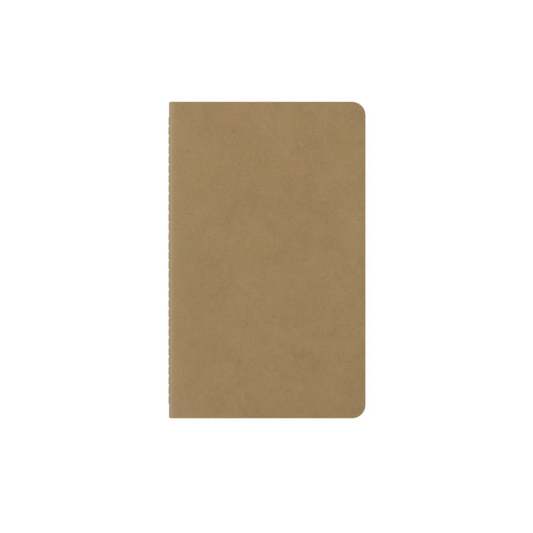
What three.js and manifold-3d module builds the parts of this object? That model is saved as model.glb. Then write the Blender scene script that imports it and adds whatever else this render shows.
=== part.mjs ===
// Pocket notebook, closed, lying on its back cover.
// Millimetres, +Z up, +Y towards the head, the folded spine on the -X side.
import * as THREE from 'three';
import Module from 'manifold-3d';
import { mergeVertices } from 'three/addons/utils/BufferGeometryUtils.js';

// Outside of the closed notebook
const WIDTH = 87; // folded spine to fore-edge
const HEIGHT = 140; // head to tail
const CORNER_R = 6; // rounded fore-edge corners
const CORNER_SEGMENTS = 3; // leaf corners: an arc has two facets for each of these
const COVER_CORNER_SEGMENTS = 8;

// Sheets, one inside the next
const SHEET_COUNT = 16; // folded sheets, so 32 leaves
const LEAF_T = 0.09; // paper thickness
const LEAF_PITCH = 0.1; // one leaf to the next
const CENTRE_GAP = 0.08; // half the gap between the two middle leaves
const FOLD_LEG = 0.6; // how far a sheet's fold reaches past the fold axis
const FOLD_FACETS = 9;
const SEAM = 0.01; // between a flat piece and the fold it grows from

// Cover card
const CARD_T = 0.3;
const SPINE_R = 2; // outside radius of the folded cover
const SPINE_FACETS = 15; // odd, so that one facet faces straight out
const CLOSED_T = 2 * SPINE_R;
const SPINE_LEG = 0.08; // flat strip past the fold axis, up to each cover's crease
const CREASE_GAP = 0.02; // between that strip and the cover's flat panel

// Sewing
const STITCH_COUNT = 30;
const STITCH_PITCH = 4.26;
const SEWN_START = -64.1; // the needle hole nearest the tail
const HOLE_LENGTH = 1; // needle hole, drawn long by the thread
const HOLE_WIDTH = 0.36;
const THREAD_HALF_W = 0.15; // the outer thread is pressed oval
const THREAD_HALF_T = 0.1;
const INNER_THREAD_R = 0.06;
const THREAD_FACETS = 6;

// Centre line of one outer stitch: distance along it, height over the card
const OUTER_STITCH = [
  [0, -0.12],
  [0.22, -0.05],
  [0.45, 0.12],
  [2.13, 0.14],
  [3.81, 0.12],
  [4.04, -0.05],
];
// Centre line of one inner stitch: distance along it, distance in from the fold axis
const INNER_STITCH = [
  [0, 0.02],
  [2.13, 0.09],
];

const FOLD_X = SPINE_R - WIDTH / 2; // the fold axis runs along Y at this X
const FOLD_Z = CLOSED_T / 2;

const MERGE_DISTANCE = 1e-5; // points nearer than this are one point
const STEP_ROUNDING = 1e-6; // so that a section on a stitch's point isn't taken for the step before

const CARD = { color: 0x9c815c, roughness: 0.9 };
const PAPER = { color: 0xeee7d3, roughness: 0.85 };
const THREAD = { color: 0xb8a888, roughness: 0.8 };

const wasm = await Module();
wasm.setup();

const notebook = new THREE.Group();
notebook.name = 'pocket_notebook';

function addPiece(name, geometry, look) {
  const material = new THREE.MeshStandardMaterial({
    color: look.color,
    roughness: look.roughness,
    metalness: 0,
  });
  const mesh = new THREE.Mesh(geometry, material);
  mesh.name = name;
  notebook.add(mesh);
}

// A flat panel from startX to the fore-edge, with the two outer corners rounded
function panel(startX, bottomZ, thickness, cornerSegments) {
  const right = WIDTH / 2;
  const top = HEIGHT / 2;
  const outline = new THREE.Shape();
  outline.moveTo(startX, -top);
  outline.lineTo(right - CORNER_R, -top);
  outline.absarc(right - CORNER_R, CORNER_R - top, CORNER_R, -Math.PI / 2, 0, false);
  outline.lineTo(right, top - CORNER_R);
  outline.absarc(right - CORNER_R, top - CORNER_R, CORNER_R, 0, Math.PI / 2, false);
  outline.lineTo(startX, top);
  outline.closePath();
  const plate = new THREE.ExtrudeGeometry(outline, {
    depth: thickness,
    bevelEnabled: false,
    curveSegments: cornerSegments,
  });
  plate.translate(0, 0, bottomZ);
  return plate;
}

function arcPoints(radius, facets) {
  const points = [];
  for (let i = 0; i <= facets; i += 1) {
    const angle = Math.PI / 2 + (Math.PI * i) / facets;
    points.push(new THREE.Vector2(radius * Math.cos(angle), radius * Math.sin(angle)));
  }
  return points;
}

// A folded strip: a half tube round the fold axis, with legs towards the fore-edge
function foldedStrip(outerR, thickness, facets, leg) {
  const innerR = outerR - thickness;
  const outer = arcPoints(outerR, facets);
  const inner = arcPoints(innerR, facets).reverse();
  const lowerLeg = [new THREE.Vector2(leg, -outerR), new THREE.Vector2(leg, -innerR)];
  const upperLeg = [new THREE.Vector2(leg, innerR), new THREE.Vector2(leg, outerR)];
  const profile = [...outer, ...lowerLeg, ...inner, ...upperLeg];
  const strip = new THREE.ExtrudeGeometry(new THREE.Shape(profile), {
    depth: HEIGHT,
    bevelEnabled: false,
  });
  strip.rotateX(Math.PI / 2);
  strip.translate(FOLD_X, HEIGHT / 2, FOLD_Z);
  return strip;
}

function toManifold(geometry) {
  const bare = geometry.clone();
  bare.deleteAttribute('normal');
  bare.deleteAttribute('uv');
  const merged = mergeVertices(bare, MERGE_DISTANCE);
  const mesh = new wasm.Mesh({
    numProp: 3,
    vertProperties: new Float32Array(merged.attributes.position.array),
    triVerts: new Uint32Array(merged.index.array),
  });
  return new wasm.Manifold(mesh);
}

function fromManifold(solid) {
  const mesh = solid.getMesh();
  const geometry = new THREE.BufferGeometry();
  geometry.setAttribute('position', new THREE.BufferAttribute(mesh.vertProperties, 3));
  geometry.setIndex(new THREE.BufferAttribute(mesh.triVerts, 1));
  const flat = geometry.toNonIndexed();
  flat.computeVertexNormals();
  return flat;
}

// The cover's fold, with a needle hole at each end of every stitch
function sewnSpine() {
  let spine = toManifold(foldedStrip(SPINE_R, CARD_T, SPINE_FACETS, SPINE_LEG));
  for (let i = 0; i <= STITCH_COUNT; i += 1) {
    const punch = new THREE.BoxGeometry(SPINE_R, HOLE_LENGTH, HOLE_WIDTH);
    punch.translate(FOLD_X - SPINE_R, SEWN_START + i * STITCH_PITCH, FOLD_Z);
    spine = spine.subtract(toManifold(punch));
  }
  return fromManifold(spine);
}

// The thread's path: the same stitch repeated down the spine
class StitchPath extends THREE.Curve {
  constructor(stitch, baseX, side) {
    super();
    this.stitch = stitch;
    this.baseX = baseX;
    this.side = side;
    this.steps = STITCH_COUNT * stitch.length;
  }

  // Sections fall exactly on the points of the stitch
  getUtoTmapping(u) {
    return u;
  }

  getPoint(t, target = new THREE.Vector3()) {
    const count = this.stitch.length;
    const at = t * this.steps;
    const index = Math.min(Math.floor(at + STEP_ROUNDING), this.steps - 1);
    const [fromY, fromX] = this.stitch[index % count];
    const next = this.stitch[(index + 1) % count];
    const toY = (index + 1) % count === 0 ? STITCH_PITCH : next[0];
    const part = at - index;
    const startY = SEWN_START + Math.floor(index / count) * STITCH_PITCH;
    return target.set(
      this.baseX + this.side * (fromX + (next[1] - fromX) * part),
      startY + fromY + (toY - fromY) * part,
      FOLD_Z,
    );
  }
}

function thread(path, halfWidth, halfThickness) {
  const section = new THREE.Shape();
  for (let i = 0; i < THREAD_FACETS; i += 1) {
    const angle = (2 * Math.PI * i) / THREAD_FACETS;
    const x = halfWidth * Math.cos(angle);
    const y = halfThickness * Math.sin(angle);
    if (i === 0) {
      section.moveTo(x, y);
    } else {
      section.lineTo(x, y);
    }
  }
  section.closePath();
  return new THREE.ExtrudeGeometry(section, {
    steps: path.steps,
    extrudePath: path,
    bevelEnabled: false,
  });
}

// Cover: two flat panels and the fold between them
const coverX = FOLD_X + SPINE_LEG + CREASE_GAP;
addPiece('front_cover', panel(coverX, CLOSED_T - CARD_T, CARD_T, COVER_CORNER_SEGMENTS), CARD);
addPiece('back_cover', panel(coverX, 0, CARD_T, COVER_CORNER_SEGMENTS), CARD);
addPiece('cover_spine', sewnSpine(), CARD);

// Sheets, the outermost first: each is a front leaf, a back leaf and the fold that joins them
for (let k = 1; k <= SHEET_COUNT; k += 1) {
  const innerR = CENTRE_GAP + (SHEET_COUNT - k) * LEAF_PITCH;
  const outerR = innerR + LEAF_T;
  const startX = FOLD_X + FOLD_LEG + SEAM;
  const name = `sheet_${String(k).padStart(2, '0')}`;
  addPiece(`${name}_front_leaf`, panel(startX, FOLD_Z + innerR, LEAF_T, CORNER_SEGMENTS), PAPER);
  addPiece(`${name}_back_leaf`, panel(startX, FOLD_Z - outerR, LEAF_T, CORNER_SEGMENTS), PAPER);
  addPiece(`${name}_fold`, foldedStrip(outerR, LEAF_T, FOLD_FACETS, FOLD_LEG), PAPER);
}

// Sewing: one thread outside along the fold, one inside in the gutter
const outerPath = new StitchPath(OUTER_STITCH, FOLD_X - SPINE_R, -1);
addPiece('outer_thread', thread(outerPath, THREAD_HALF_W, THREAD_HALF_T), THREAD);
const innerPath = new StitchPath(INNER_STITCH, FOLD_X, 1);
addPiece('inner_thread', thread(innerPath, INNER_THREAD_R, INNER_THREAD_R), THREAD);

export default notebook;
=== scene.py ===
import math
import random

import bpy
import numpy as np
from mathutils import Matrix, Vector


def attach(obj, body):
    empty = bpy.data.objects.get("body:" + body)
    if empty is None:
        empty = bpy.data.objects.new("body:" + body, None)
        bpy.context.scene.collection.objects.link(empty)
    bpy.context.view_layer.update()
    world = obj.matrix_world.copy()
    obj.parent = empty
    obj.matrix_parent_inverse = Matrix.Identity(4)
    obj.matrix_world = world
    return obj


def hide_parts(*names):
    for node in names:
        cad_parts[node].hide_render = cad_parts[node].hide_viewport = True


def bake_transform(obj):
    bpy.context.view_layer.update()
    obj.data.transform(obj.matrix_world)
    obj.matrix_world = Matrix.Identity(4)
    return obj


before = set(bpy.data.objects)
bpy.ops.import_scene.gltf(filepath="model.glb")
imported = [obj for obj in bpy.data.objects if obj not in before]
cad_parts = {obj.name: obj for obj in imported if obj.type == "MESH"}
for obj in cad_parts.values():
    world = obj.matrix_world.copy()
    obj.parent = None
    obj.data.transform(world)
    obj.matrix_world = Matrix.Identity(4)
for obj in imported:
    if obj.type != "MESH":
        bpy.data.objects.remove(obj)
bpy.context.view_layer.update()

# ---------------------------------------------------------------- sizes, in metres
MM = 0.001

# The closed notebook
WIDTH = 87 * MM
HEIGHT = 140 * MM
CORNER_R = 6 * MM
SPINE_R = 2 * MM
CLOSED_T = 2 * SPINE_R
FOLD_X = SPINE_R - WIDTH / 2  # the fold's axis runs along Y at this X and Z
FOLD_Z = SPINE_R

# Cover
CARD_T = 0.3 * MM
CARD_BEVEL = 0.05 * MM
CREASE_X = 0.1 * MM  # from the fold's axis to where each cover panel starts
PANEL_COLUMNS = 30
PANEL_ARC_STEPS = 14
PANEL_MIDDLE_STEPS = 26
BEVEL_MIDDLE = 0.3  # a bevel's middle ring lies this share of the bevel in from both faces
RIM = 0.45 * MM  # the cut edge shows this far in, a little darker
# Paleness along the fold: partly the card made paler where the fold stretches and rubs it, partly a
# painted highlight where the rounded spine faces the key light.
FOLD_PALE_AND_HIGHLIGHT_AT = (0, 0.8, 1.15, 1.5, 2.0, 2.4, 3.0, 5.2, 10, 20)  # mm from the outside of the fold
FOLD_PALE_AND_HIGHLIGHT_BY = (0.86, 0.86, 1, 0.87, 0.55, 0.38, 0.28, 0.16, 0.06, 0)

# The cover's spine, dented by the sewing
SPINE_ROWS = 440
SPINE_OUTER_STEPS = 32
SPINE_INNER_STEPS = 12
HOLE_DENT = {"depth": 0.20 * MM, "length": 0.5 * MM, "width": 0.4 * MM}
STITCH_GROOVE = {"depth": 0.06 * MM, "width": 0.35 * MM}
# Painted shade in the needle holes' dents, where the fold's pale band fades out.
HOLE_SHADE = {"amount": 0.8, "length": 0.4 * MM, "width": 0.35 * MM}
END_TUCK = {"depth": 0.32 * MM, "from": 0.975, "power": 6}  # from: share of the half height

# Sheets
SHEET_COUNT = 16
LEAF_T = 0.09 * MM
LEAF_PITCH = 0.1 * MM
CENTRE_GAP = 0.08 * MM
FAR_GAP = 0.01 * MM  # away from the thread the middle leaves close up
FAR_PITCH = 0.1045 * MM
SETTLE = 12 * MM  # the leaves reach their far spacing this far from the fold's axis
TRIM_SPREAD = 0.03 * MM  # unevenness of the fore-edge
LEAF_STEPS = 16
LEAF_CROWDING = 1.6  # above 1, a leaf's columns crowd towards the fold
LEAF_ARC_STEPS = 9
LEAF_MIDDLE_STEPS = 20
FOLD_STEPS = 12

# Sewing
STITCH_COUNT = 30
STITCH_PITCH = 4.26 * MM
SEWN_START = -64.1 * MM
SEWN_END = SEWN_START + STITCH_COUNT * STITCH_PITCH
STRANDS = 2
THREAD_SIDES = 14
TWIST_PITCH = 1.1 * MM
STRAND_RELIEF = 0.12  # share of the thread's radius between a strand's crown and its valley
OUTER_THREAD = {"radius": 0.18 * MM, "step": 0.11 * MM}
INNER_THREAD = {"radius": 0.13 * MM, "step": 0.14 * MM}
OUTER_HEIGHT = 0.10 * MM  # the outer thread's middle over the card
OUTER_DIP = {"depth": 0.27 * MM, "length": 0.42 * MM}  # where it goes in at a needle hole
INNER_HEIGHT = 0.07 * MM
INNER_DIP = {"depth": 0.1 * MM, "length": 0.4 * MM}
LEAN_SPREAD = 0.05 * MM  # unevenness of the stitches, sideways and in height
LIFT_SPREAD = 0.02 * MM
STRAIGHT_NEAR = 0.6 * MM  # a stitch's lean fades out this near to its holes

SHARP_ANGLE = math.radians(50)

rng = random.Random(31)


# ---------------------------------------------------------------- mesh helpers
def add_layer(obj, name, values, domain="POINT"):
    layer = obj.data.attributes.new(name, "FLOAT", domain)
    layer.data.foreach_set("value", np.array(values, np.float32))


def make_mesh(name, verts, faces, wear_tone_and_painted_light, smooth=True):
    """A mesh that remembers each point's place at rest, for its patterns to follow."""
    mesh = bpy.data.meshes.new(name)
    mesh.from_pydata([tuple(v) for v in verts], [], faces)
    mesh.validate()
    mesh.update()
    obj = bpy.data.objects.new(name, mesh)
    bpy.context.scene.collection.objects.link(obj)
    rest = mesh.attributes.new("rest", "FLOAT_VECTOR", "POINT")
    rest.data.foreach_set("vector", np.array(verts, np.float32).ravel())
    add_layer(obj, "wear_tone_and_painted_light", wear_tone_and_painted_light)
    if smooth:
        mesh.polygons.foreach_set("use_smooth", [True] * len(mesh.polygons))
        mesh.set_sharp_from_angle(angle=SHARP_ANGLE)
    mesh.update()
    return obj


def bell(distance, width):
    """1 at no distance, fading out over about the given width."""
    return math.exp(-((distance / width) ** 2))


def fore_edge_x(y, inset=0.0):
    """How far a panel reaches at this height, with its corners rounded."""
    half = HEIGHT / 2 - inset
    radius = CORNER_R - inset
    right = WIDTH / 2 - inset
    over = abs(y) - (half - radius)
    if over <= 0:
        return right
    over = min(over, radius)
    return right - radius + math.sqrt(max(radius * radius - over * over, 0.0))


def row_ys(inset, arc_steps, middle_steps):
    """Heights of the rows of a panel's grid, close together round the corners."""
    half = HEIGHT / 2 - inset
    radius = CORNER_R - inset
    arc = [
        half - radius + radius * math.sin(math.pi / 2 * i / arc_steps) for i in range(arc_steps + 1)
    ]
    middle = [(half - radius) * (2 * i / middle_steps - 1) for i in range(1, middle_steps)]
    return [-y for y in reversed(arc)] + middle + arc


def across(columns):
    """Shares of a panel's width, closer together towards the fold and the fore-edge."""
    return [0.5 - 0.5 * math.cos(math.pi * j / (columns - 1)) for j in range(columns)]


def grid_faces(rows, columns, start, flip):
    faces = []
    for i in range(rows - 1):
        for j in range(columns - 1):
            a = start + i * columns + j
            quad = (a, a + 1, a + columns + 1, a + columns)
            faces.append(quad[::-1] if flip else quad)
    return faces


def border(rows, columns, start):
    """Indices round a grid's border, counter-clockwise as rows go up."""
    bottom = [start + j for j in range(columns)]
    right = [start + i * columns + columns - 1 for i in range(1, rows)]
    top = [start + (rows - 1) * columns + j for j in range(columns - 2, -1, -1)]
    left = [start + i * columns for i in range(rows - 2, 0, -1)]
    return bottom + right + top + left


def bridge(lower, upper):
    n = len(lower)
    return [(lower[i], lower[(i + 1) % n], upper[(i + 1) % n], upper[i]) for i in range(n)]


# ---------------------------------------------------------------- materials
def linear(r, g, b):
    """A screen colour, 0 to 255, as the linear colour that a shader takes."""

    def one(c):
        c /= 255
        return c / 12.92 if c <= 0.04045 else ((c + 0.055) / 1.055) ** 2.4

    return (one(r), one(g), one(b))


KRAFT_DARK = linear(139, 115, 80)
KRAFT_LIGHT = linear(148, 121, 85)
KRAFT_OLIVE = linear(142, 120, 79)
KRAFT_WARM = linear(151, 119, 83)
# Pale fold colour: partly the card made paler by the fold, partly a painted highlight on the
# rounded spine.
KRAFT_PALE_FOLD_AND_HIGHLIGHT = linear(156, 133, 105)
KRAFT_CUT = linear(134, 107, 72)
KRAFT_ASH = 0.13  # share of the grain that is added as grey, on top of scaling the colour
PAPER_DARK = linear(232, 225, 205)
PAPER_LIGHT = linear(234, 227, 208)
PAPER_FLECK = linear(222, 211, 186)
PAPER_EDGE = linear(205, 192, 163)
# Thread colours: the valley colours are painted shade between the strands, the crown colours
# painted highlight.
OUTER_VALLEY_PAINTED_SHADE, OUTER_CROWN_PAINTED_HIGHLIGHT = linear(128, 112, 86), linear(194, 179, 149)
INNER_VALLEY_PAINTED_SHADE, INNER_CROWN_PAINTED_HIGHLIGHT = linear(140, 122, 92), linear(204, 190, 158)

# Noise patterns: cycles per metre, or in each direction where they are stretched into fibres
PULP = {"scale": 1500.0, "detail": 5.0, "roughness": 0.75}
BLOTCH = {"scale": 170.0, "detail": 4.0, "distortion": 0.3}
OLIVE_PATCH = {"scale": 90.0, "detail": 3.0}
WARM_PATCH = {"scale": 120.0, "detail": 3.0}
SLOW_SHADE = {"scale": 42.0, "detail": 2.0, "roughness": 0.5}
RAGGED = {"scale": 1500.0, "detail": 3.0}
FIBRE = {"scale": 1.0, "detail": 2.0, "roughness": 0.5, "distortion": 0.4}
FIBRE_SIZE = (2600, 420, 2600)
COARSE_FIBRE_SIZE = (2400, 380, 2400)
FIBRE_TURNS = (0.4, -0.8, 1.5)  # radians
WARM_STRETCH, WARM_TURN = (1, 1.3, 1), 0.9
PATCH_SHIFT = (-1.31, 0.22, 0.0)  # which stretch of the blotches' pattern falls on the covers
PAPER_TOOTH = {"scale": 5200.0}
PAPER_CLOUD = {"scale": 300.0}
STRATA = {"scale": 1.0, "detail": 3.0, "roughness": 0.7, "distortion": 0.2}
STRATA_SIZE = (18, 18, 3400)
LINT = {"scale": 9000.0, "detail": 3.0}
MID = (0.3, 0.7)  # most of a noise's values lie in this range

# How a pattern is read: a range of its values, and the range that it is mapped onto
FULL_MIX = (MID, (0.0, 1.0))
OLIVE_MIX = ((0.47, 0.66), (0.0, 0.6))
WARM_MIX = ((0.53, 0.7), (0.0, 0.4))
PULP_SWING = (MID, (-0.08, 0.08))
SLOW_SWING = (MID, (0.975, 1.025))
PALE_FIBRE_SWING = ((0.56, 0.72), (0.0, 0.075))
DARK_FIBRE_SWING = ((0.56, 0.74), (0.0, -0.09))
COARSE_FIBRE_SWING = ((0.58, 0.74), (0.0, 0.065))
FOLD_PALE_AND_HIGHLIGHT_RAGGED = (MID, (0.7, 1.0))
CUT_RAGGED = (MID, (0.5, 1.0))
KRAFT_ROUGHNESS = (MID, (0.84, 0.95))
FLECK_MIX = ((0.62, 0.75), (0.0, 0.2))
STRATA_MIX = ((0.38, 0.68), (0.0, 0.5))
SHEET_TONE = 0.3  # how far one sheet's trimmed edge may be darker than another's
PAPER_ROUGHNESS = (MID, (0.78, 0.92))
LINT_SWING = (MID, (-0.25, 0.25))
THREAD_ROUGHNESS = (MID, (0.6, 0.8))
KRAFT_BUMP = {"strength": 0.25, "distance": 0.02 * MM}
PAPER_BUMP = {"strength": 0.12, "distance": 0.01 * MM}
THREAD_BUMP = {"strength": 0.3, "distance": 0.01 * MM}


def new_material(name):
    material = bpy.data.materials.new(name)
    material.use_nodes = True
    tree = material.node_tree
    tree.nodes.clear()
    out = tree.nodes.new("ShaderNodeOutputMaterial")
    shader = tree.nodes.new("ShaderNodeBsdfPrincipled")
    tree.links.new(shader.outputs["BSDF"], out.inputs["Surface"])
    return material, tree, shader


def layer_value(tree, name):
    attribute = tree.nodes.new("ShaderNodeAttribute")
    attribute.attribute_name = name
    return attribute.outputs["Fac"]


def rest_vector(tree, scale=(1, 1, 1), turn=0.0, shift=(0, 0, 0)):
    """The point's place on the closed notebook, shifted, turned about z and then scaled."""
    attribute = tree.nodes.new("ShaderNodeAttribute")
    attribute.attribute_name = "rest"
    mapping = tree.nodes.new("ShaderNodeMapping")
    mapping.vector_type = "TEXTURE"
    mapping.inputs["Location"].default_value = shift
    mapping.inputs["Rotation"].default_value = (0, 0, turn)
    mapping.inputs["Scale"].default_value = tuple(1 / s for s in scale)
    tree.links.new(attribute.outputs["Vector"], mapping.inputs["Vector"])
    return mapping.outputs["Vector"]


def noise(tree, vector, scale, detail=4.0, roughness=0.6, distortion=0.0):
    node = tree.nodes.new("ShaderNodeTexNoise")
    node.inputs["Scale"].default_value = scale
    node.inputs["Detail"].default_value = detail
    node.inputs["Roughness"].default_value = roughness
    node.inputs["Distortion"].default_value = distortion
    tree.links.new(vector, node.inputs["Vector"])
    return node.outputs["Fac"]


def spread(tree, value, low, high):
    """Map a value's range, low, onto another range, high, and hold it there at both ends."""
    node = tree.nodes.new("ShaderNodeMapRange")
    node.inputs["From Min"].default_value, node.inputs["From Max"].default_value = low
    node.inputs["To Min"].default_value, node.inputs["To Max"].default_value = high
    tree.links.new(value, node.inputs["Value"])
    return node.outputs["Result"]


def calc(tree, operation, a, b):
    node = tree.nodes.new("ShaderNodeMath")
    node.operation = operation
    for socket, value in zip(node.inputs, (a, b)):
        if isinstance(value, (int, float)):
            socket.default_value = value
        else:
            tree.links.new(value, socket)
    return node.outputs["Value"]


def mix_colour(tree, factor, a, b):
    node = tree.nodes.new("ShaderNodeMix")
    node.data_type = "RGBA"
    sockets = {s.identifier: s for s in node.inputs}
    tree.links.new(factor, sockets["Factor_Float"])
    for key, value in (("A_Color", a), ("B_Color", b)):
        if isinstance(value, tuple):
            sockets[key].default_value = (*value, 1.0)
        else:
            tree.links.new(value, sockets[key])
    return next(s for s in node.outputs if s.identifier == "Result_Color")


def bump(tree, shader, height, strength, distance):
    node = tree.nodes.new("ShaderNodeBump")
    node.inputs["Strength"].default_value = strength
    node.inputs["Distance"].default_value = distance
    tree.links.new(height, node.inputs["Height"])
    tree.links.new(node.outputs["Normal"], shader.inputs["Normal"])


def scaled_colour(tree, colour, grain, ash):
    """The colour times the grain, with a share of the grain's swing added as grey."""
    scale = tree.nodes.new("ShaderNodeVectorMath")
    scale.operation = "SCALE"
    tree.links.new(colour, scale.inputs[0])
    tree.links.new(grain, scale.inputs["Scale"])
    swing = calc(tree, "MULTIPLY", calc(tree, "SUBTRACT", grain, 1.0), ash)
    grey = tree.nodes.new("ShaderNodeCombineXYZ")
    for socket in grey.inputs:
        tree.links.new(swing, socket)
    total = tree.nodes.new("ShaderNodeVectorMath")
    total.operation = "ADD"
    tree.links.new(scale.outputs["Vector"], total.inputs[0])
    tree.links.new(grey.outputs["Vector"], total.inputs[1])
    return total.outputs["Vector"]


def kraft_material():
    """Uncoated kraft card: brown pulp with fine fibres in three directions and cloudy blotches."""
    material, tree, shader = new_material("kraft_card")
    pulp = noise(tree, rest_vector(tree), **PULP)
    blotch = noise(tree, rest_vector(tree), **BLOTCH)
    olive = noise(tree, rest_vector(tree, shift=PATCH_SHIFT), **OLIVE_PATCH)
    warm = noise(tree, rest_vector(tree, WARM_STRETCH, WARM_TURN, PATCH_SHIFT), **WARM_PATCH)
    slow = noise(tree, rest_vector(tree, shift=PATCH_SHIFT), **SLOW_SHADE)
    pale_fibre = noise(tree, rest_vector(tree, FIBRE_SIZE, FIBRE_TURNS[0]), **FIBRE)
    dark_fibre = noise(tree, rest_vector(tree, FIBRE_SIZE, FIBRE_TURNS[1]), **FIBRE)
    coarse_fibre = noise(tree, rest_vector(tree, COARSE_FIBRE_SIZE, FIBRE_TURNS[2]), **FIBRE)

    colour = mix_colour(tree, spread(tree, blotch, *FULL_MIX), KRAFT_DARK, KRAFT_LIGHT)
    colour = mix_colour(tree, spread(tree, olive, *OLIVE_MIX), colour, KRAFT_OLIVE)
    colour = mix_colour(tree, spread(tree, warm, *WARM_MIX), colour, KRAFT_WARM)

    grain = calc(tree, "ADD", spread(tree, pulp, *PULP_SWING), spread(tree, slow, *SLOW_SWING))
    grain = calc(tree, "ADD", grain, spread(tree, pale_fibre, *PALE_FIBRE_SWING))
    grain = calc(tree, "ADD", grain, spread(tree, dark_fibre, *DARK_FIBRE_SWING))
    grain = calc(tree, "ADD", grain, spread(tree, coarse_fibre, *COARSE_FIBRE_SWING))
    colour = scaled_colour(tree, colour, grain, KRAFT_ASH)

    ragged = noise(tree, rest_vector(tree), **RAGGED)
    # Mix in the pale band along the fold: partly the card made paler by the fold, partly a painted
    # highlight.
    pale_fold_and_highlight = calc(tree, "MULTIPLY", layer_value(tree, "wear_tone_and_painted_light"), spread(tree, ragged, *FOLD_PALE_AND_HIGHLIGHT_RAGGED))
    colour = mix_colour(tree, pale_fold_and_highlight, colour, KRAFT_PALE_FOLD_AND_HIGHLIGHT)
    cut = calc(tree, "MULTIPLY", layer_value(tree, "rim"), spread(tree, ragged, *CUT_RAGGED))
    colour = mix_colour(tree, cut, colour, KRAFT_CUT)
    tree.links.new(colour, shader.inputs["Base Color"])
    tree.links.new(spread(tree, blotch, *KRAFT_ROUGHNESS), shader.inputs["Roughness"])
    shader.inputs["Specular IOR Level"].default_value = 0.25
    height = calc(tree, "ADD", pulp, calc(tree, "ADD", pale_fibre, dark_fibre))
    bump(tree, shader, height, **KRAFT_BUMP)
    return material


def paper_material():
    """Ivory writing paper with a faint tooth. The stack's edges show as fine uneven strata."""
    material, tree, shader = new_material("ivory_paper")
    tooth = noise(tree, rest_vector(tree), **PAPER_TOOTH)
    cloud = noise(tree, rest_vector(tree), **PAPER_CLOUD)
    strata = noise(tree, rest_vector(tree, STRATA_SIZE), **STRATA)
    colour = mix_colour(tree, spread(tree, cloud, *FULL_MIX), PAPER_DARK, PAPER_LIGHT)
    colour = mix_colour(tree, spread(tree, tooth, *FLECK_MIX), colour, PAPER_FLECK)
    tone = calc(tree, "MULTIPLY", layer_value(tree, "wear_tone_and_painted_light"), SHEET_TONE)
    band = calc(tree, "ADD", spread(tree, strata, *STRATA_MIX), tone)
    edge = calc(tree, "MULTIPLY", band, layer_value(tree, "trimmed"))
    colour = mix_colour(tree, edge, colour, PAPER_EDGE)
    tree.links.new(colour, shader.inputs["Base Color"])
    tree.links.new(spread(tree, tooth, *PAPER_ROUGHNESS), shader.inputs["Roughness"])
    shader.inputs["Specular IOR Level"].default_value = 0.3
    bump(tree, shader, tooth, **PAPER_BUMP)
    return material


def thread_material(name, valley, crown):
    """Twisted thread: the strands' valleys are darker than their crowns, as painted shade and
    painted highlight.
    """
    material, tree, shader = new_material(name)
    lint = noise(tree, rest_vector(tree), **LINT)
    amount = calc(tree, "ADD", layer_value(tree, "wear_tone_and_painted_light"), spread(tree, lint, *LINT_SWING))
    colour = mix_colour(tree, spread(tree, amount, (0.0, 1.0), (0.0, 1.0)), valley, crown)
    tree.links.new(colour, shader.inputs["Base Color"])
    tree.links.new(spread(tree, lint, *THREAD_ROUGHNESS), shader.inputs["Roughness"])
    shader.inputs["Sheen Weight"].default_value = 0.25
    bump(tree, shader, lint, **THREAD_BUMP)
    return material


kraft = kraft_material()
paper = paper_material()
outer_look = thread_material("outer_thread", OUTER_VALLEY_PAINTED_SHADE, OUTER_CROWN_PAINTED_HIGHLIGHT)
inner_look = thread_material("inner_thread", INNER_VALLEY_PAINTED_SHADE, INNER_CROWN_PAINTED_HIGHLIGHT)


def dress(obj, material):
    obj.data.materials.append(material)


def bend_round_fold(obj):
    """Work out an eased share for each point by its angle round the fold's axis and lay it out as
    z, bake the object's transform, then put the points back where they were.
    """
    mesh = obj.data
    placed = np.empty(len(mesh.vertices) * 3)
    mesh.vertices.foreach_get("co", placed)
    points = placed.reshape(-1, 3)
    angle = np.arctan2(points[:, 2] - FOLD_Z, FOLD_X - points[:, 0])
    share = np.clip(0.5 - angle / math.pi, 0.0, 1.0)
    eased = 0.5 - np.sin(np.arcsin(1 - 2 * share) / 3)
    laid_out = points.copy()
    laid_out[:, 2] = -eased
    mesh.vertices.foreach_set("co", laid_out.ravel())
    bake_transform(obj)
    mesh.vertices.foreach_set("co", placed)
    mesh.update()


# ---------------------------------------------------------------- cover
def fold_paleness_and_highlight(x):
    """How far the card is paler near the fold, by distance from the spine's outside: partly the
    card made paler where the fold stretches and rubs it, partly a painted highlight where the
    rounded spine catches the light.
    """
    return float(np.interp((x + WIDTH / 2) / MM, FOLD_PALE_AND_HIGHLIGHT_AT, FOLD_PALE_AND_HIGHLIGHT_BY))


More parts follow.
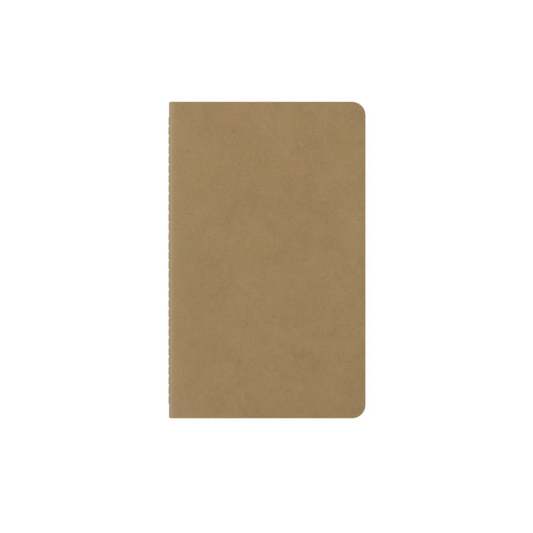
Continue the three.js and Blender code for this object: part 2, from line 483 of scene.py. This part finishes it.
def plate(name, bottom_z):
    """A card panel with softly rounded edges: two grids, joined by rings round the edge."""
    start_x = FOLD_X + CREASE_X
    middle = CARD_BEVEL * BEVEL_MIDDLE
    layers = [
        (CARD_BEVEL, bottom_z),
        (middle, bottom_z + middle),
        (0.0, bottom_z + CARD_BEVEL),
        (0.0, bottom_z + CARD_T - CARD_BEVEL),
        (middle, bottom_z + CARD_T - middle),
        (CARD_BEVEL, bottom_z + CARD_T),
    ]
    verts, wear_tone_and_painted_light, rim, starts = [], [], [], []
    rows = 0
    for inset, z in layers:
        ys = row_ys(inset, PANEL_ARC_STEPS, PANEL_MIDDLE_STEPS)
        rows = len(ys)
        starts.append(len(verts))
        for y in ys:
            reach = fore_edge_x(y, inset)
            for u in across(PANEL_COLUMNS):
                x = start_x + (reach - start_x) * u
                verts.append((x, y, z))
                edge = min(HEIGHT / 2 - abs(y), WIDTH / 2 - x, abs(fore_edge_x(y) - x))
                rim.append(max(0.0, 1 - edge / RIM))
                wear_tone_and_painted_light.append(fold_paleness_and_highlight(x))
    faces = grid_faces(rows, PANEL_COLUMNS, starts[0], True)
    faces += grid_faces(rows, PANEL_COLUMNS, starts[-1], False)
    rings = [border(rows, PANEL_COLUMNS, s) for s in starts]
    for lower, upper in zip(rings, rings[1:]):
        faces += bridge(lower, upper)
    used = sorted({i for face in faces for i in face})
    where = {old: new for new, old in enumerate(used)}
    faces = [tuple(where[i] for i in face) for face in faces]
    obj = make_mesh(name, [verts[i] for i in used], faces, [wear_tone_and_painted_light[i] for i in used])
    add_layer(obj, "rim", [rim[i] for i in used])
    return obj


front = plate("front_cover_panel", CLOSED_T - CARD_T)
dress(front, kraft)
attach(front, "front_cover")
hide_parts("front_cover")
back = plate("back_cover_panel", 0.0)
dress(back, kraft)
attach(back, "back_cover")
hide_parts("back_cover")


def hole_distance(y):
    """Distance from a height to the nearest needle hole."""
    k = round((y - SEWN_START) / STITCH_PITCH)
    k = min(max(k, 0), STITCH_COUNT)
    return abs(y - (SEWN_START + k * STITCH_PITCH))


def spine_profile():
    """The strip's section. Each point has an x past the fold's axis or None, a radius, an angle."""
    inner_r = SPINE_R - CARD_T
    profile = [(CREASE_X, SPINE_R, 0.0)]
    for k in range(SPINE_OUTER_STEPS + 1):
        profile.append((None, SPINE_R, math.pi / 2 + math.pi * k / SPINE_OUTER_STEPS))
    profile += [(CREASE_X, -SPINE_R, 0.0), (CREASE_X, -inner_r, 0.0)]
    for k in range(SPINE_INNER_STEPS + 1):
        profile.append((None, inner_r, 3 * math.pi / 2 - math.pi * k / SPINE_INNER_STEPS))
    profile.append((CREASE_X, inner_r, 0.0))
    return profile


def sewn_dent(y, along):
    """How deep the thread presses the card in at this height, this far round from the sewing."""
    gap = hole_distance(y)
    depth = HOLE_DENT["depth"] * bell(gap, HOLE_DENT["length"]) * bell(along, HOLE_DENT["width"])
    if SEWN_START < y < SEWN_END:
        depth += STITCH_GROOVE["depth"] * bell(along, STITCH_GROOVE["width"])
    return depth


def hole_shade(y, along):
    """How far the fold's pale band fades out round a needle hole: painted shade in the dent."""
    near = bell(hole_distance(y), HOLE_SHADE["length"]) * bell(along, HOLE_SHADE["width"])
    return HOLE_SHADE["amount"] * near


def end_tuck(y, angle):
    """How far the spine's two ends curl in at the outside of the fold."""
    turn = max(math.cos(angle - math.pi), 0) ** END_TUCK["power"]
    near_end = max(0.0, abs(y) / (HEIGHT / 2) - END_TUCK["from"]) / (1 - END_TUCK["from"])
    return math.copysign(END_TUCK["depth"] * turn, y) * near_end


def strip_end(outer_line, inner_line, flip):
    """Triangles that close the gap between two lines with different numbers of points."""
    faces = []
    last_outer, last_inner = len(outer_line) - 1, len(inner_line) - 1
    i = j = 0
    while i < last_outer or j < last_inner:
        if j >= last_inner or (i < last_outer and i / last_outer <= j / last_inner):
            face = (outer_line[i], outer_line[i + 1], inner_line[j])
            i += 1
        else:
            face = (outer_line[i], inner_line[j + 1], inner_line[j])
            j += 1
        faces.append(face[::-1] if flip else face)
    return faces


def spine_strip():
    """The card bent round the fold, dented where the thread pulls into it."""
    profile = spine_profile()
    columns = len(profile)
    verts, wear_tone_and_painted_light = [], []
    for i in range(SPINE_ROWS):
        y = HEIGHT * (i / (SPINE_ROWS - 1) - 0.5)
        for x, r, angle in profile:
            if x is not None:
                verts.append((FOLD_X + x, y, FOLD_Z + r))
                wear_tone_and_painted_light.append(fold_paleness_and_highlight(FOLD_X + x))
                continue
            dent = mark = 0.0
            if r == SPINE_R:
                along = (angle - math.pi) * SPINE_R
                dent = sewn_dent(y, along)
                # The fold's pale band, faded round the needle holes as painted shade in the dents.
                mark = fold_paleness_and_highlight(FOLD_X + r * math.cos(angle)) * (1 - hole_shade(y, along))
            verts.append((
                FOLD_X + (r - dent) * math.cos(angle),
                y - end_tuck(y, angle),
                FOLD_Z + (r - dent) * math.sin(angle),
            ))
            wear_tone_and_painted_light.append(mark)
    faces = []
    for i in range(SPINE_ROWS - 1):
        for j in range(columns):
            a, b = i * columns + j, i * columns + (j + 1) % columns
            faces.append((a, a + columns, b + columns, b))
    for row, flip in ((0, False), (SPINE_ROWS - 1, True)):
        first = row * columns
        outer_line = [first + j for j in range(SPINE_OUTER_STEPS + 3)]
        inner_line = [first + columns - 1 - j for j in range(SPINE_INNER_STEPS + 3)]
        faces += strip_end(outer_line, inner_line, flip)
    obj = make_mesh("cover_spine_fold", verts, faces, wear_tone_and_painted_light)
    add_layer(obj, "rim", [max(0.0, 1 - (HEIGHT / 2 - abs(v[1])) / RIM) for v in verts])
    return obj


strip = spine_strip()
dress(strip, kraft)
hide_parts("cover_spine")
bend_round_fold(strip)


# ---------------------------------------------------------------- folded sheets
def settle(x, near, far):
    """A leaf's height over the fold's axis, easing from near the fold to far from it."""
    u = min(1.0, x / SETTLE)
    return near + (far - near) * u * u * (3 - 2 * u)


def slab(name, lower, upper, rows, columns, tone):
    """A thin closed solid between two grids of points."""
    faces = grid_faces(rows, columns, 0, True) + grid_faces(rows, columns, len(lower), False)
    pages = len(faces)
    faces += bridge(border(rows, columns, 0), border(rows, columns, len(lower)))
    verts = lower + upper
    obj = make_mesh(name, verts, faces, [tone] * len(verts), smooth=False)
    add_layer(obj, "trimmed", [0.0] * pages + [1.0] * (len(faces) - pages), "FACE")
    return obj


def leaf(name, near, far, trim, front_half, tone):
    """One leaf, from the fold to its trimmed fore-edge."""
    ys = row_ys(0.0, LEAF_ARC_STEPS, LEAF_MIDDLE_STEPS)
    shares = [(j / LEAF_STEPS) ** LEAF_CROWDING for j in range(LEAF_STEPS + 1)]
    layers = []
    for raised in (0.0, LEAF_T):
        layer = []
        for y in ys:
            reach = fore_edge_x(y) - trim - FOLD_X
            for u in shares:
                z = settle(reach * u, near + raised, far + raised)
                layer.append((FOLD_X + reach * u, y, FOLD_Z + (z if front_half else -z)))
        layers.append(layer)
    lower, upper = layers if front_half else layers[::-1]
    return slab(name, lower, upper, len(ys), len(shares), tone)


def leaf_fold(name, inner_r, tone):
    """The strip of a sheet that bends round the fold."""
    ys = row_ys(0.0, LEAF_ARC_STEPS, LEAF_MIDDLE_STEPS)
    layers = []
    for r in (inner_r, inner_r + LEAF_T):
        layer = []
        for y in ys:
            for j in range(FOLD_STEPS + 1):
                angle = math.pi * (1.5 - j / FOLD_STEPS)
                layer.append((FOLD_X + r * math.cos(angle), y, FOLD_Z + r * math.sin(angle)))
        layers.append(layer)
    return slab(name, layers[0], layers[1], len(ys), FOLD_STEPS + 1, tone)


def folded_sheet(k):
    near = CENTRE_GAP + (SHEET_COUNT - k) * LEAF_PITCH
    far = FAR_GAP + (SHEET_COUNT - k) * FAR_PITCH
    trim = rng.uniform(0.0, TRIM_SPREAD)
    bodies = {"front": f"sheet_{k:02d}_front", "back": "spine" if k == 1 else f"sheet_{k:02d}_back"}
    tone = 0.0
    for side, body in bodies.items():
        tone = rng.random()
        half = leaf(f"page_{k:02d}_{side}", near, far, trim, side == "front", tone)
        dress(half, paper)
        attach(half, body)
        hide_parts(f"sheet_{k:02d}_{side}_leaf")
    bend = leaf_fold(f"page_{k:02d}_fold", near, tone)
    dress(bend, paper)
    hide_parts(f"sheet_{k:02d}_fold")
    bend_round_fold(bend)


for number in range(1, SHEET_COUNT + 1):
    folded_sheet(number)


# ---------------------------------------------------------------- thread
def twisted_thread(name, centre, size):
    """A tube whose section has one lobe for each strand, and turns as it goes along."""
    length = SEWN_END - SEWN_START
    count = int(round(length / size["step"])) + 1
    points = [Vector(centre(SEWN_START + length * i / (count - 1))) for i in range(count)]
    verts, faces, wear_tone_and_painted_light = [], [], []
    travelled = 0.0
    for i, p in enumerate(points):
        ahead = points[min(i + 1, count - 1)] - points[max(i - 1, 0)]
        tangent = ahead.normalized()
        side = tangent.cross(Vector((0, 0, 1))).normalized()
        up = side.cross(tangent).normalized()
        if i:
            travelled += (p - points[i - 1]).length
        phase = 2 * math.pi * travelled / TWIST_PITCH
        for j in range(THREAD_SIDES):
            angle = 2 * math.pi * j / THREAD_SIDES
            lobe = math.cos(STRANDS * angle - phase)
            r = size["radius"] * (1 - STRAND_RELIEF + STRAND_RELIEF * lobe)
            verts.append(p + side * (r * math.cos(angle)) + up * (r * math.sin(angle)))
            # Crowns take the paler colour and valleys the darker: painted highlight and painted
            # shade.
            wear_tone_and_painted_light.append(0.5 + 0.5 * lobe)
    for i in range(count - 1):
        for j in range(THREAD_SIDES):
            a, b = i * THREAD_SIDES + j, i * THREAD_SIDES + (j + 1) % THREAD_SIDES
            faces.append((a, b, b + THREAD_SIDES, a + THREAD_SIDES))
    faces.append(tuple(reversed(range(THREAD_SIDES))))
    faces.append(tuple((count - 1) * THREAD_SIDES + j for j in range(THREAD_SIDES)))
    return make_mesh(name, verts, faces, wear_tone_and_painted_light)


lean = [rng.uniform(-LEAN_SPREAD, LEAN_SPREAD) for _ in range(STITCH_COUNT + 1)]
lift = [rng.uniform(-LIFT_SPREAD, LIFT_SPREAD) for _ in range(STITCH_COUNT + 1)]


def outer_centre(y):
    """The outer thread's middle: over the card along a stitch, down into the holes at its ends."""
    k = min(int((y - SEWN_START) / STITCH_PITCH), STITCH_COUNT - 1)
    part = (y - SEWN_START) / STITCH_PITCH - k
    gap = hole_distance(y)
    height = OUTER_HEIGHT + lift[k] - OUTER_DIP["depth"] * bell(gap, OUTER_DIP["length"])
    z = lean[k] * (2 * part - 1) * min(1.0, gap / STRAIGHT_NEAR)
    return (FOLD_X - SPINE_R - height, y, FOLD_Z + z)


def inner_centre(y):
    """The inner thread's middle, in the gutter of the innermost sheet."""
    dip = INNER_DIP["depth"] * bell(hole_distance(y), INNER_DIP["length"])
    return (FOLD_X + INNER_HEIGHT - dip, y, FOLD_Z)


outer = twisted_thread("sewing_thread_outer", outer_centre, OUTER_THREAD)
dress(outer, outer_look)
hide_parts("outer_thread")
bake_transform(outer)
inner = twisted_thread("sewing_thread_inner", inner_centre, INNER_THREAD)
dress(inner, inner_look)
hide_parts("inner_thread")
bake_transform(inner)


# ---------------------------------------------------------------- camera
FRAME_PIXELS = 533
COVER_PIXELS = 316.61  # the cover's height in the frame
PIXEL = HEIGHT / COVER_PIXELS
LENS = 100.0
SENSOR = 36.0
CAMERA_XY = (-0.26 * MM, -2.86 * MM)
camera_data = bpy.data.cameras.new("camera")
camera_data.lens = LENS
camera_data.sensor_width = SENSOR
camera_data.clip_start = 0.01
camera_data.clip_end = 20
camera = bpy.data.objects.new("camera", camera_data)
camera_height = FRAME_PIXELS * PIXEL / 2 / (SENSOR / 2 / LENS)
camera.location = (*CAMERA_XY, CLOSED_T + camera_height)
camera.rotation_euler = (0, 0, 0)
bpy.context.scene.collection.objects.link(camera)
bpy.context.scene.camera = camera


# ---------------------------------------------------------------- floor and light
FLOOR_Z = -0.35 * MM  # a cover folded right back lies 0.32 mm under the closed notebook
FLOOR_HALF = 6.0
FLOOR_GREY = 0.11
FLOOR_GLOW = 0.89
WORLD_STRENGTH = 0.96
KEY_PLACE = (-0.32, 0.3, 0.46)
KEY_SIZE = 0.35
KEY_POWER = 1.25


def floor_material():
    """Pale floor that reads as plain white and takes only a faint shadow."""
    material, _, shader = new_material("floor")
    shader.inputs["Base Color"].default_value = (FLOOR_GREY, FLOOR_GREY, FLOOR_GREY, 1)
    shader.inputs["Roughness"].default_value = 0.9
    shader.inputs["Specular IOR Level"].default_value = 0.1
    shader.inputs["Emission Color"].default_value = (1, 1, 1, 1)
    shader.inputs["Emission Strength"].default_value = FLOOR_GLOW
    return material


corners = [(-1, -1), (1, -1), (1, 1), (-1, 1)]
floor_points = [(x * FLOOR_HALF, y * FLOOR_HALF, FLOOR_Z) for x, y in corners]
floor_mesh = bpy.data.meshes.new("floor")
floor_mesh.from_pydata(floor_points, [], [(0, 1, 2, 3)])
floor_mesh.materials.append(floor_material())
floor = bpy.data.objects.new("floor", floor_mesh)
bpy.context.scene.collection.objects.link(floor)

world = bpy.data.worlds.new("studio")
world.use_nodes = True
background = world.node_tree.nodes["Background"]
background.inputs["Color"].default_value = (1, 1, 1, 1)
background.inputs["Strength"].default_value = WORLD_STRENGTH
bpy.context.scene.world = world

key_data = bpy.data.lights.new("key", "AREA")
key_data.shape = "SQUARE"
key_data.size = KEY_SIZE
key_data.energy = KEY_POWER
key = bpy.data.objects.new("key", key_data)
key.location = KEY_PLACE
key.rotation_mode = "QUATERNION"
key.rotation_quaternion = (-Vector(KEY_PLACE)).to_track_quat("-Z", "Y")
bpy.context.scene.collection.objects.link(key)
bpy.context.scene.view_settings.view_transform = "Standard"
bpy.context.scene.view_settings.look = "None"
